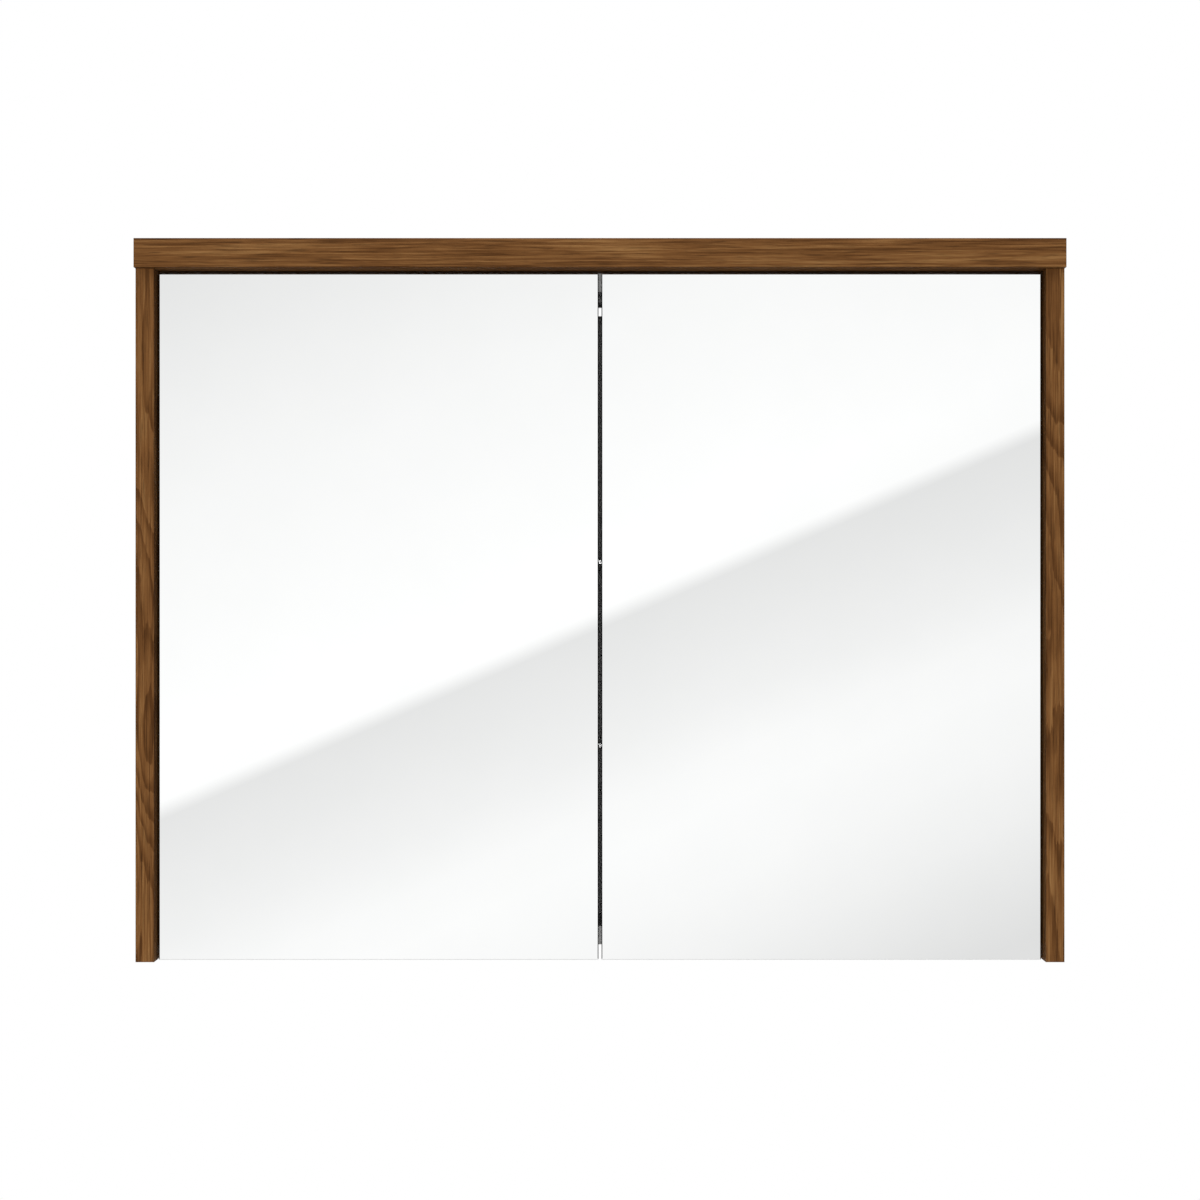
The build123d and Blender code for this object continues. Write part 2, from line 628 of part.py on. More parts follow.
def carcass_side():
    """The left grey side, grooved and drilled for pegs, hinges, hanger and dowels."""
    side = block(-X_SIDE, -X_BAY, Y_CARCASS, 0, Z_FLOOR_UNDER, Z_UNDER_TOP)
    side -= groove()
    for height in SHELF_HEIGHTS.values():
        for z in peg_heights(height):
            for y in (Y_FRONT_HOLES, Y_REAR_HOLES):
                side -= rod_x(PEG_RADIUS + PEG_PLAY, -X_BAY - PEG_DEPTH, -X_BAY, y, z)
    for cutter in side_screws() + dowels(DOWEL_END_PLAY) + both_hinges(Compound(plate_screws())):
        side -= cutter
    for pin in hanger_pins():
        side -= pin
    return side


def carcass_level(z0, z1):
    """A grey board between the carcass sides, grooved and drilled for dowels."""
    board = block(-X_BAY, X_BAY, Y_CARCASS, 0, z0, z1) - groove()
    for dowel in dowels(DOWEL_END_PLAY):
        board -= dowel
        board -= other_side(dowel)
    return board


def carcass_top():
    """The inner top, drilled for the screws into the walnut."""
    board = carcass_level(Z_BAY_TOP, Z_UNDER_TOP)
    for screw in top_screws():
        board -= screw
    return board


def slot_outline(margin):
    """The upright outline of the cable slot, grown by a margin."""
    width = CABLE_SLOT_WIDTH + 2 * margin
    height = CABLE_SLOT_HEIGHT + 2 * margin
    z = Z_BAY_TOP - CABLE_SLOT_DROP
    face = Plane(origin=(0, Y_BACK_FRONT, z), x_dir=(1, 0, 0), z_dir=(0, -1, 0))
    return face * SlotOverall(width, height)


def back_panel():
    """The thin back in its grooves, notched for the hangers and slotted for a cable."""
    x = X_BAY + GROOVE_DEPTH - GROOVE_PLAY
    z0 = Z_FLOOR - GROOVE_DEPTH + GROOVE_PLAY
    z1 = Z_BAY_TOP + GROOVE_DEPTH - GROOVE_PLAY
    panel = block(-x, x, Y_BACK_FRONT, Y_BACK_REAR, z0, z1)
    notch_x = -X_BAY + HANGER_WIDTH - NOTCH_PLAY
    notch_z = Z_LIP_TOP - HOOK_TONGUE - NOTCH_PLAY
    notch = block(-x, notch_x, Y_BACK_FRONT, Y_BACK_REAR, notch_z, z1)
    panel -= notch
    panel -= other_side(notch)
    slot = slot_outline(GROMMET_WALL + GROMMET_PLAY)
    return panel - extrude(slot, BACK_THICK, dir=(0, 1, 0))


def cable_grommet():
    """The plastic liner of the cable slot, with a thin lip on the front of the back panel."""
    liner = extrude(slot_outline(GROMMET_WALL), BACK_THICK, dir=(0, 1, 0))
    lip = extrude(slot_outline(GROMMET_WALL + GROMMET_LIP), GROMMET_LIP_THICK, dir=(0, -1, 0))
    hole = extrude(slot_outline(0), BACK_THICK, dir=(0, 1, 0))
    hole += extrude(slot_outline(0), GROMMET_LIP_THICK, dir=(0, -1, 0))
    return liner + lip - hole


def shelf(height):
    """A glass shelf with its front edges ground."""
    x = X_BAY - SHELF_SIDE_PLAY
    y0 = Y_CARCASS + SHELF_FRONT_SETBACK
    z0 = Z_FLOOR + height
    glass = block(-x, x, y0, Y_BACK_FRONT - SHELF_REAR_PLAY, z0, z0 + SHELF_THICK)
    return chamfer(front_edges(glass, y0), SHELF_BEVEL)


def shelf_supports(height):
    """The four pegs of one shelf, each with a flat tongue under the glass."""
    z = Z_FLOOR + height
    pegs = []
    for y in (Y_FRONT_HOLES, Y_REAR_HOLES):
        half = PEG_TONGUE_WIDTH / 2
        tongue = block(-X_BAY, -X_BAY + PEG_TONGUE_LENGTH, y - half, y + half, z - PEG_TONGUE_THICK, z)
        ends = tongue.edges().filter_by(Axis.Z).group_by(Axis.X)[-1]
        tongue = fillet(ends, half / 2)
        pegs.append(tongue + rod_x(PEG_RADIUS, -X_BAY - PEG_DEPTH, -X_BAY + half, y, z - PEG_RADIUS))
    return pegs + [other_side(peg) for peg in pegs]


def hanger_pins():
    """The two pins that hold a hanger case in the left carcass side."""
    y_mid = Y_HANGER_BACK - HANGER_LENGTH / 2
    z_mid = Z_HANGER_TOP - HANGER_HEIGHT / 2
    pins = []
    for side in (-1, 1):
        y = y_mid + side * HANGER_PIN_SPACING / 2
        pins.append(rod_x(HANGER_PIN_RADIUS, -X_BAY - HANGER_PIN_LENGTH, -X_BAY, y, z_mid))
    return pins


def hanger_adjusters():
    """The lift and depth screws of the left hanger, from its front wall to the lever."""
    y0 = Y_HANGER_BACK - HANGER_LENGTH
    y1 = Y_LEVER_FRONT
    z_mid = Z_LIP_TOP - HOOK_LEVER_DROP / 2
    x = -X_BAY + HOOK_MIDDLE
    heights = (z_mid + ADJUSTER_SPACING / 2, z_mid - ADJUSTER_SPACING / 2)
    return [rod_y(ADJUSTER_RADIUS, y0, y1, x, z) for z in heights]


def hanger_case():
    """The pressed steel case of the left hanger, open at the back."""
    y0 = Y_HANGER_BACK - HANGER_LENGTH
    z0 = Z_HANGER_TOP - HANGER_HEIGHT
    case = block(-X_BAY, -X_BAY + HANGER_WIDTH, y0, Y_HANGER_BACK, z0, Z_HANGER_TOP)
    case -= block(
        -X_BAY + HANGER_STEEL,
        -X_BAY + HANGER_WIDTH - HANGER_STEEL,
        y0 + HANGER_STEEL,
        Y_HANGER_BACK,
        z0 + HANGER_STEEL,
        Z_HANGER_TOP - HANGER_STEEL,
    )
    for pin in hanger_pins():
        case += pin
    for screw in hanger_adjusters():
        case -= screw
    return case


def hanger_hook():
    """The left hook plate: a lever in the case and a tongue behind the lip of the wall plate."""
    y_lip_back = -PLATE_LIP_GAP + HOOK_LIP_PLAY
    y_tongue = y_lip_back + HOOK_THICK
    top = Z_LIP_TOP + HOOK_HEIGHT
    low = Z_LIP_TOP - HOOK_LEVER_DROP
    y_lever = Y_LEVER_FRONT + HOOK_LEVER_LENGTH
    corners = [
        (y_tongue, top),
        (y_tongue, Z_LIP_TOP - HOOK_TONGUE),
        (y_lip_back, Z_LIP_TOP - HOOK_TONGUE),
        (y_lip_back, Z_LIP_TOP),
        (Y_HANGER_BACK, Z_LIP_TOP),
        (y_lever, Z_LIP_TOP - HOOK_HEIGHT),
        (y_lever, low),
        (Y_LEVER_FRONT, low),
        (Y_LEVER_FRONT, Z_LIP_TOP),
        (Y_LEVER_FRONT + HOOK_HEIGHT, top),
    ]
    x = -X_BAY + HOOK_MIDDLE - HOOK_THICK / 2
    face = Plane(origin=(x, 0, 0), x_dir=(0, 1, 0), z_dir=(1, 0, 0))
    outline = make_face(Polyline(*corners, close=True))
    return extrude(face * outline, HOOK_THICK, dir=(1, 0, 0))


def hanger_cover():
    """The plastic cover over the left hanger, with two holes for a screwdriver."""
    y0 = Y_HANGER_BACK - HANGER_LENGTH - COVER_PLAY
    z0 = Z_HANGER_TOP - HANGER_HEIGHT - COVER_PLAY
    x1 = -X_BAY + HANGER_WIDTH + COVER_PLAY
    z1 = Z_HANGER_TOP + COVER_PLAY
    wall = COVER_WALL
    cover = block(-X_BAY, x1 + wall, y0 - wall, Y_HANGER_BACK, z0 - wall, z1 + wall)
    front = front_edges(cover, y0 - wall).filter_by(lambda e: e.center().X > -X_BAY + wall)
    cover = fillet(front, COVER_ROUND)
    cover -= block(-X_BAY, x1, y0, Y_HANGER_BACK, z0, z1)
    for screw in hanger_adjusters():
        place = screw.center()
        cover -= rod_y(COVER_HOLE_RADIUS, y0 - 2 * wall, y0 + wall, place.X, place.Z)
    return cover


def wall_plate():
    """The left wall plate: drilled strip steel, joggled forward to a lip for the hook."""
    y_foot = -PLATE_STEEL / 2
    y_lip = -PLATE_LIP_GAP - PLATE_STEEL / 2
    z_lip_foot = Z_LIP_TOP - PLATE_LIP_HEIGHT
    points = [
        (y_foot, -PLATE_HOLE_SPACING / 2 - PLATE_FOOT),
        (y_foot, z_lip_foot - PLATE_LIP_GAP - PLATE_BEND / 2),
        (y_lip, z_lip_foot),
        (y_lip, Z_LIP_TOP),
    ]
    x0 = -PLATE_SPACING / 2 - PLATE_WIDTH / 2
    face = Plane(origin=(x0, 0, 0), x_dir=(0, 1, 0), z_dir=(1, 0, 0))
    profile = trace(FilletPolyline(*points, radius=PLATE_BEND), PLATE_STEEL)
    strip_steel = extrude(face * profile, PLATE_WIDTH, dir=(1, 0, 0))
    for side in (-1, 1):
        z = side * PLATE_HOLE_SPACING / 2
        strip_steel -= rod_y(PLATE_HOLE_RADIUS, -2 * PLATE_STEEL, OVERSHOOT, -PLATE_SPACING / 2, z)
    return strip_steel


def door_board():
    """The left door board, bored for its two hinge cups and their screws."""
    y0 = Y_DOOR + MIRROR_THICK
    board = block(-X_DOOR_OUT, -X_DOOR_IN, y0, Y_DOOR_BACK, Z_BASE, Z_DOOR_TOP)
    x_cup, y_hole = plan((CUP_U, V_CUP_HOLE))
    bore = rod_y(CUP_RADIUS + CUP_PLAY, y_hole, Y_DOOR_BACK, x_cup, 0)
    for cutter in both_hinges(bore) + both_hinges(Compound(cup_screws())):
        board -= cutter
    return board


def mirror_front():
    """The left outer mirror, its front edges ground to a narrow bevel."""
    y1 = Y_DOOR + MIRROR_THICK
    glass = block(-X_DOOR_OUT, -X_DOOR_IN, Y_DOOR, y1, Z_BASE, Z_DOOR_TOP)
    return chamfer(front_edges(glass, Y_DOOR), MIRROR_BEVEL)


def mirror_rear():
    """The left inner mirror, clear of the hinges and of the carcass edges."""
    x0 = -X_DOOR_OUT + REAR_MIRROR_HINGE_MARGIN
    x1 = -X_DOOR_IN - REAR_MIRROR_FREE_MARGIN
    y1 = Y_DOOR_BACK + REAR_MIRROR_THICK
    z0 = Z_BASE + REAR_MIRROR_END_MARGIN
    z1 = Z_DOOR_TOP - REAR_MIRROR_END_MARGIN
    glass = block(x0, x1, Y_DOOR_BACK, y1, z0, z1)
    return chamfer(front_edges(glass, y1), MIRROR_BEVEL)


def door_bumpers():
    """The two soft buffers at the free corners of the left door."""
    x = -X_DOOR_IN - BUMPER_INSET
    y1 = Y_CARCASS - BUMPER_PLAY
    bumpers = []
    for z in (Z_DOOR_TOP - BUMPER_INSET, Z_FLOOR - CARCASS_THICK / 2):
        bumper = rod_y(BUMPER_RADIUS, Y_DOOR_BACK, y1, x, z)
        rim = bumper.edges().sort_by(Axis.Y)[-1]
        bumpers.append(chamfer(rim, BUMPER_BEVEL))
    return bumpers


def hinge_group(make):
    """Both hinges' copies of a piece, or of a list of pieces, on the left door."""
    made = make()
    pieces = made if isinstance(made, list) else [made]
    return [copy for piece in pieces for copy in both_hinges(piece)]


def save_pair(name, *solids):
    """Write the left node and its mirrored right node."""
    save(f"{name}_left", *solids)
    save(f"{name}_right", *[other_side(solid) for solid in solids])


os.makedirs("parts", exist_ok=True)

save("surround_top", surround_top())
save("carcass_top", carcass_top())
save("carcass_bottom", carcass_level(Z_FLOOR_UNDER, Z_FLOOR))
save("back_panel", back_panel())
save("cable_grommet", cable_grommet())
for level, height in SHELF_HEIGHTS.items():
    save(f"shelf_{level}", shelf(height))
save("shelf_supports", *[peg for h in SHELF_HEIGHTS.values() for peg in shelf_supports(h)])
left_dowels = dowels()
save("carcass_dowels", *left_dowels, *[other_side(dowel) for dowel in left_dowels])
left_screws = side_screws()
save("surround_screws", *left_screws, *[other_side(s) for s in left_screws], *top_screws())
save("screw_caps", *screw_caps())
left_adjusters = hanger_adjusters()
save("hanger_adjusters", *left_adjusters, *[other_side(a) for a in left_adjusters])

PAIRS = {
    "surround_side": surround_side,
    "carcass_side": carcass_side,
    "wall_plate": wall_plate,
    "hanger_case": hanger_case,
    "hanger_hook": hanger_hook,
    "hanger_cover": hanger_cover,
    "door_board": door_board,
    "mirror_front": mirror_front,
    "mirror_rear": mirror_rear,
}
for name, make in PAIRS.items():
    save_pair(name, make())
save_pair("door_bumpers", *door_bumpers())

HINGE_PIECES = {
    "hinge_plates": hinge_plate,
    "plate_screws": plate_screws,
    "hinge_arms": hinge_arm,
    "arm_screws": adjusters,
    "arm_pins": arm_pins,
    "closing_springs": closing_spring,
    "outer_links": outer_link,
    "inner_links": inner_link,
    "hinge_cups": hinge_cup,
    "cup_pins": hinge_pin_solids,
    "cup_screws": cup_screws,
}
for name, make in HINGE_PIECES.items():
    save_pair(name, *hinge_group(make))
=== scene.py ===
import json
import math

import bpy
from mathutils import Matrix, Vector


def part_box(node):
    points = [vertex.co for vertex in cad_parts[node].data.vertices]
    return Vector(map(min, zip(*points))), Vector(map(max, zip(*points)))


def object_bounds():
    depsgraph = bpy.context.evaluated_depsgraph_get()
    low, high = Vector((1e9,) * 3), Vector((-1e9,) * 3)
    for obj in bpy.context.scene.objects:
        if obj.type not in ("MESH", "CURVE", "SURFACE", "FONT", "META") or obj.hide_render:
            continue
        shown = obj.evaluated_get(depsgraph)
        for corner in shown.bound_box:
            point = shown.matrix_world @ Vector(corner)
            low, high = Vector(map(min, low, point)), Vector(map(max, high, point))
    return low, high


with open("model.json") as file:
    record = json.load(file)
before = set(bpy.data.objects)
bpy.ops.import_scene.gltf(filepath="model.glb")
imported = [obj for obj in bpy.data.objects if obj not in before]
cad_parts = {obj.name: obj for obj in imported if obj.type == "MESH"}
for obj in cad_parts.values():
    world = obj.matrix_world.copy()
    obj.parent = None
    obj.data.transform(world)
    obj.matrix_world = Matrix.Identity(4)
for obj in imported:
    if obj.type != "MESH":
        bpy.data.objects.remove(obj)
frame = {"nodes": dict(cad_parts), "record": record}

# Looks of a wall-hung mirror cabinet: walnut surround, mirrored doors, grey carcass, glass
# shelves and steel fittings. Metres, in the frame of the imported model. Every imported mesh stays
# as it is and gets a material. Patterns are given in repeats a metre, and a ramp's stops are
# pairs of a pattern's level, from 0 to 1, and the tone, share or roughness there.

cad_bounds = [[float(value) for value in corner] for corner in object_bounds()]
MIDDLE_Z = (cad_bounds[0][2] + cad_bounds[1][2]) / 2
MIRROR_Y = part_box("mirror_front_left")[0].y

# Camera: level, in front of the middle of the cabinet
CAMERA_Y = -2.460
CAMERA_LENS = 71.56
CAMERA_SENSOR = 36.0
CAMERA_SHIFT = 0.00075
UPRIGHT = (math.pi / 2, 0, 0)  # turns a flat sheet, or the camera, to face along Y

# The card that the mirrors reflect: two soft tones, cut on a slant
CARD_DISTANCE = 4.0  # in front of the mirrors
CARD_WIDTH = 9.0
CARD_HEIGHT = 7.0
CARD_SLOPE = 0.4354  # rise of the cut across the card
CARD_DROP = -0.0506  # height of the cut at the middle of the card
CARD_SPAN = 3.182  # height of card over which its tones run
CARD_LEVEL = 1.085
CARD_TONES = [
    (0.06, 0.775),
    (0.17, 0.863),
    (0.26, 0.922),
    (0.36, 0.960),
    (0.45, 0.996),
    (0.493, 0.985),
    (0.507, 0.775),
    (0.56, 0.822),
    (0.61, 0.870),
    (0.66, 0.939),
    (0.70, 0.957),
    (0.76, 0.930),
    (0.82, 0.878),
    (0.92, 0.750),
]
CARD_RIGHT_SPAN = 2.0  # to the right of the middle, where the card gets a little darker
CARD_RIGHT_TONES = [(0.2, 1.0), (0.6, 0.965)]
CARD_BORDER = [(0.45, 0.0), (1.0, 1.0)]  # how far the card has faded to white, by its border

# Light
SKY_ABOVE = 0.60
SKY_BELOW = 0.04
SKY_BOTTOM = -0.3  # height on the sky where the lower level ends
SKY_TOP = 0.7
FRONT_POWER = 214.0
FRONT_SIZE = 1.5
FRONT_PLACE = (0.0, -6.0, -0.10)
KEY_POWER = 20.0
KEY_SIZE = 2.0
KEY_PLACE = (-0.8, -2.4, 2.2)
MATT_BOUNCE = 2.0  # what a matt bounce counts for, where a reflection counts for one
FIRST_HAND = 1.5  # white shows through one reflection, and not through two or a matt surface
WHITE = (1.0, 1.0, 1.0)
BLACK = (0.0, 0.0, 0.0)

# Floor
FLOOR_Z = -1.81
FLOOR_SIZE = 5.0
FLOOR_DEPTH = -FLOOR_SIZE / 3  # middle of the floor, in front of the wall
FLOOR_MOTTLE = (3.0, 3.0, 0.5)
FLOOR_TONES = [(0.3, 0.86), (0.7, 0.89)]
FLOOR_ROUGHNESS = [(0.3, 0.78), (0.7, 0.86)]
FLOOR_FADE = [(0.55, 1.0), (1.0, 0.0)]  # how solid the floor is, by its border

# Walnut. A pattern is its repeats along and across the grain, detail, roughness and warp.
WALNUT_DARK = (0.078, 0.0298, 0.0074)
WALNUT_MIDDLE = (0.161, 0.0685, 0.0202)
WALNUT_LIGHT = (0.262, 0.1320, 0.0450)
WALNUT_TONES = [(0.42, WALNUT_DARK), (0.52, WALNUT_MIDDLE), (0.62, WALNUT_LIGHT)]
RING_FIELD = (1.0, 0.35)  # detail and roughness of the field whose level lines are the rings
RING_COUNT = 15.0
RING_WANDER = ((14, 160), 3.0, 0.55)
RING_TONES = [(0.0, 0.60), (0.45, 0.56), (0.86, 0.30), (0.97, 0.36), (1.0, 0.60)]
STREAKS = ((5.5, 330), 5.0, 0.75, 0.2)
LINES = ((16, 640), 2.0, 0.6, 0.1)
CLOUDS = ((3.0, 60), 2.0, 0.5, 0.3)
FIGURE_SHARE = 0.58  # rings and streaks together
LINE_SHARE = 0.28
CLOUD_SHARE = 0.14
FIBRES = ((22, 1400), 4.0, 0.65)
FIBRE_TONES = [(0.25, 0.80), (0.75, 1.15)]
FIBRE_SHADE = 0.55
FIBRE_HEIGHT = 0.5  # beside the depth of the pores
STROKES = ((30, 720), 2.0, 0.5, 0.2)
STROKE_TONES = [(0.34, 0.58), (0.45, 1.0)]
STROKE_SHADE = 0.8
PORES = ((90, 2300), 2.0, 0.5)
PORE_TONES = [(0.30, 0.45), (0.40, 1.0)]
PORE_SHADE = 0.6
WALNUT_ROUGHNESS = [(0.3, 0.54), (0.7, 0.68)]
WALNUT_GLOSS = 0.06
WALNUT_WEAR = (0.0012, [(0.05, 0.0), (0.60, 0.05)], WALNUT_LIGHT)
WALNUT_RELIEF = (0.22, 0.00012, 0.0006)

# Each walnut board: its material, grain axis, repeats and share of the rings, and the place in
# the pattern that it is cut from
WALNUT_BOARDS = {
    "surround_top": ("walnut_top", "X", (0.9, 20.0), 0.10, (0.31, 0.072, 0.045)),
    "surround_side_left": ("walnut_left", "Z", (3.4, 18.0), 0.30, (7.47, 0.11, 1.12)),
    "surround_side_right": ("walnut_right", "Z", (3.4, 18.0), 0.30, (-6.41, 0.11, 1.12)),
}

# For the other materials a speckle is its repeats, detail and roughness. For all of them wear is
# the radius of a worn edge, its shares by how far the surface bends there, and its colour, and
# relief is its strength, its depth and the radius of softened edges.
GREY_FINE = (1900.0, 2.0, 0.6)
GREY_BROAD = (9.0, 3.0, 0.5)
GREY_TONES = [(0.3, (0.452, 0.452, 0.446)), (0.7, (0.468, 0.468, 0.461))]
GREY_SPECKS = [(0.30, 0.90), (0.62, 1.05)]
GREY_SHADE = 0.7
GREY_ROUGHNESS = [(0.3, 0.48), (0.7, 0.62)]
GREY_GLOSS = 0.4
GREY_WEAR = (0.0009, [(0.03, 0.0), (0.4, 0.22)], (0.56, 0.56, 0.55))
GREY_RELIEF = (0.16, 0.00006, 0.0004)

# Glass: how squarely a face has to look along its axis to count as a polished one
MIRROR_FACING = 0.35
SILVER_HAZE = (14.0, 4.0, 0.6)
SILVER_TONES = [(0.3, (0.928, 0.936, 0.932)), (0.7, (0.940, 0.946, 0.943))]
GROUND_EDGE = (900.0, 2.0, 0.6)
GROUND_TONES = [(0.3, (0.150, 0.235, 0.200)), (0.7, (0.220, 0.320, 0.280))]
MIRROR_ROUGHNESS = [(0.0, 0.32), (1.0, 0.004)]  # from the edges to the faces
SHELF_FACING = 0.9
SHELF_HAZE = (22.0, 3.0, 0.6)
SHELF_TONES = [(0.3, (0.90, 0.965, 0.945)), (0.7, (0.93, 0.975, 0.960))]
SHELF_EDGE = (0.42, 0.62, 0.55)
SHELF_ROUGHNESS = [(0.0, 0.16), (1.0, 0.01)]
GLASS_IOR = 1.5

# Metals: tint, axis of the drawn grain, least and most roughness, strength of the grain, and how
# far zinc flakes show
METALS = {
    "nickel_steel": ((0.62, 0.60, 0.57), "Z", (0.20, 0.34), 0.12, 0.0),
    "pin_steel": ((0.55, 0.55, 0.54), "Z", (0.16, 0.28), 0.10, 0.0),
    "screw_steel": ((0.60, 0.62, 0.64), "X", (0.24, 0.38), 0.10, 0.0),
    "hanger_steel": ((0.56, 0.58, 0.60), "Z", (0.30, 0.46), 0.14, 0.6),
}
METAL_GRAIN = ((120, 4200), 3.0, 0.6)
METAL_SMEARS = (160.0, 3.0, 0.5)
METAL_DULL = 0.84  # smears, as a share of the metal's own tint
METAL_BRIGHT = 1.15  # worn edges
METAL_LIMIT = 0.95
METAL_WEAR = (0.0004, [(0.04, 0.0), (0.5, 0.5)])
METAL_RELIEF = (0.00003, 0.00025)
FLAKE_REPEATS = 420.0
FLAKE_TONES = [(0.2, 0.78), (0.8, 1.06)]

PLASTIC_SPARK = (2600.0, 2.0, 0.6)
PLASTIC_CLOUDS = (60.0, 2.0, 0.5)
PLASTIC_TONES = [(0.3, (0.250, 0.250, 0.246)), (0.7, (0.275, 0.275, 0.270))]
PLASTIC_ROUGHNESS = [(0.3, 0.42), (0.7, 0.54)]
PLASTIC_RELIEF = (0.2, 0.00004, 0.0004)

SILICONE_MILK = (300.0, 3.0, 0.5)
SILICONE_TONES = [(0.3, (0.80, 0.82, 0.81)), (0.7, (0.90, 0.92, 0.91))]
SILICONE_ROUGHNESS = [(0.3, 0.22), (0.7, 0.34)]
SILICONE_CLEAR = 0.7
SILICONE_IOR = 1.41
SILICONE_RELIEF = (0.1, 0.0001, 0.0004)

BEECH_FLECKS = ((60, 900), 3.0, 0.6)
BEECH_TONES = [(0.3, (0.42, 0.27, 0.14)), (0.7, (0.56, 0.39, 0.22))]
BEECH_ROUGHNESS = [(0.3, 0.55), (0.7, 0.7)]
BEECH_RELIEF = (0.3, 0.0001, 0.0003)


class Tree:
    """A node tree, with short ways to fill it."""

    def __init__(self, owner):
        owner.use_nodes = True
        self.nodes = owner.node_tree.nodes
        self.links = owner.node_tree.links
        self.nodes.clear()
        self.place = self.nodes.new("ShaderNodeTexCoord").outputs

    def set(self, node, socket, value):
        """Join a socket to another node's output, or give it a plain value."""
        if isinstance(value, bpy.types.NodeSocket):
            self.links.new(value, node.inputs[socket])
        elif isinstance(value, tuple) and node.inputs[socket].type == "RGBA":
            node.inputs[socket].default_value = (*value, 1.0)
        else:
            node.inputs[socket].default_value = value

    def add(self, kind, sockets):
        """A new node with values for some of its sockets."""
        node = self.nodes.new(kind)
        for socket, value in sockets.items():
            self.set(node, socket, value)
        return node

    def spread(self, scale=(1, 1, 1), move=(0, 0, 0)):
        """Object coordinates, scaled and moved."""
        sockets = {"Vector": self.place["Object"], "Scale": scale, "Location": move}
        return self.add("ShaderNodeMapping", sockets).outputs[0]

    def noise(self, vector, scale, detail, rough, warp=0.0):
        """Soft noise over a vector, from 0 to 1."""
        sockets = {
            "Vector": vector,
            "Scale": scale,
            "Detail": detail,
            "Roughness": rough,
            "Distortion": warp,
        }
        return self.add("ShaderNodeTexNoise", sockets).outputs["Fac"]

    def grain(self, axis, repeats, detail, rough, warp=0.0, move=(0, 0, 0)):
        """Noise drawn out along one axis, with its repeats along and across that axis."""
        along, across = repeats
        scale = tuple(along if name == axis else across for name in "XYZ")
        return self.noise(self.spread(scale, move), 1.0, detail, rough, warp)

    def speckle(self, repeats, detail, rough):
        """Noise that is the same in all directions."""
        return self.noise(self.spread(), repeats, detail, rough)

    def cells(self, scale):
        """A random colour for each cell of a pattern."""
        sockets = {"Vector": self.spread(), "Scale": scale}
        return self.add("ShaderNodeTexVoronoi", sockets).outputs["Color"]

    def ramp(self, factor, stops):
        """A colour or tone for each level of a factor."""
        node = self.add("ShaderNodeValToRGB", {"Fac": factor})
        points = node.color_ramp.elements
        while len(points) < len(stops):
            points.new(1.0)
        for point, (position, tone) in zip(points, stops):
            point.position = position
            colour = tone if isinstance(tone, tuple) else (tone, tone, tone)
            point.color = (*colour, 1.0)
        return node.outputs["Color"]

    def mix(self, factor, first, second, way="MIX"):
        """Two colours mixed; the node holds its colour sockets at 6 and 7, and gives 2."""
        node = self.nodes.new("ShaderNodeMix")
        node.data_type = "RGBA"
        node.blend_type = way
        for socket, value in ((0, factor), (6, first), (7, second)):
            self.set(node, socket, value)
        return node.outputs[2]

    def shade(self, share, colour, tone):
        """A colour made darker or lighter by a tone."""
        return self.mix(share, colour, tone, "MULTIPLY")

    def math(self, way, first, second=0.0):
        """One step of arithmetic on one or two values."""
        node = self.add("ShaderNodeMath", {0: first, 1: second})
        node.operation = way
        return node.outputs[0]

    def parts(self, vector):
        """The X, Y and Z of a vector."""
        return self.add("ShaderNodeSeparateXYZ", {0: vector}).outputs

    def first_hand(self):
        """1 for what is seen straight or in one reflection, 0 for what comes after more."""
        rays = self.nodes.new("ShaderNodeLightPath").outputs
        matt = self.math("MULTIPLY", rays["Diffuse Depth"], MATT_BOUNCE)
        bounces = self.math("ADD", matt, rays["Glossy Depth"])
        return self.math("LESS_THAN", bounces, FIRST_HAND)

    def border(self, width, height):
        """On a flat sheet, 0 in the middle and 1 at the border."""
        place = self.parts(self.place["Object"])
        across = self.math("DIVIDE", self.math("ABSOLUTE", place["X"]), width / 2)
        up = self.math("DIVIDE", self.math("ABSOLUTE", place["Y"]), height / 2)
        return self.math("MAXIMUM", across, up)


class Material(Tree):
    """A material's tree, round one principled shader."""

    def __init__(self, name):
        self.material = bpy.data.materials.new(name)
        super().__init__(self.material)
        self.shader = self.nodes.new("ShaderNodeBsdfPrincipled")
        self.add("ShaderNodeOutputMaterial", {"Surface": self.shader.outputs[0]})

    def surface(self, **sockets):
        """Fill sockets of the principled shader."""
        for name, value in sockets.items():
            self.set(self.shader, name.replace("_", " "), value)

    def bump(self, height, strength, depth, soft_edge):
        """Surface relief, over edges softened by a small radius."""
        bevel = self.add("ShaderNodeBevel", {"Radius": soft_edge})
        sockets = {
            "Height": height,
            "Strength": strength,
            "Distance": depth,
            "Normal": bevel.outputs[0],
        }
        return self.add("ShaderNodeBump", sockets).outputs[0]

    def worn(self, colour, radius, shares, pale):
        """A colour gone pale along its edges, from how far a softened normal turns there."""
        bevel = self.add("ShaderNodeBevel", {"Radius": radius})
        surface = self.nodes.new("ShaderNodeNewGeometry")
        dot = self.nodes.new("ShaderNodeVectorMath")
        dot.operation = "DOT_PRODUCT"
        self.set(dot, 0, bevel.outputs[0])
        self.set(dot, 1, surface.outputs["Normal"])
        bend = self.math("SUBTRACT", 1.0, dot.outputs["Value"])
        return self.mix(self.ramp(bend, shares), colour, pale)

    def facing(self, axis, least):
        """1 on faces that look squarely along an axis, either way, and 0 on the others."""
        along = self.parts(self.place["Normal"])[axis]
        return self.math("GREATER_THAN", self.math("ABSOLUTE", along), least)


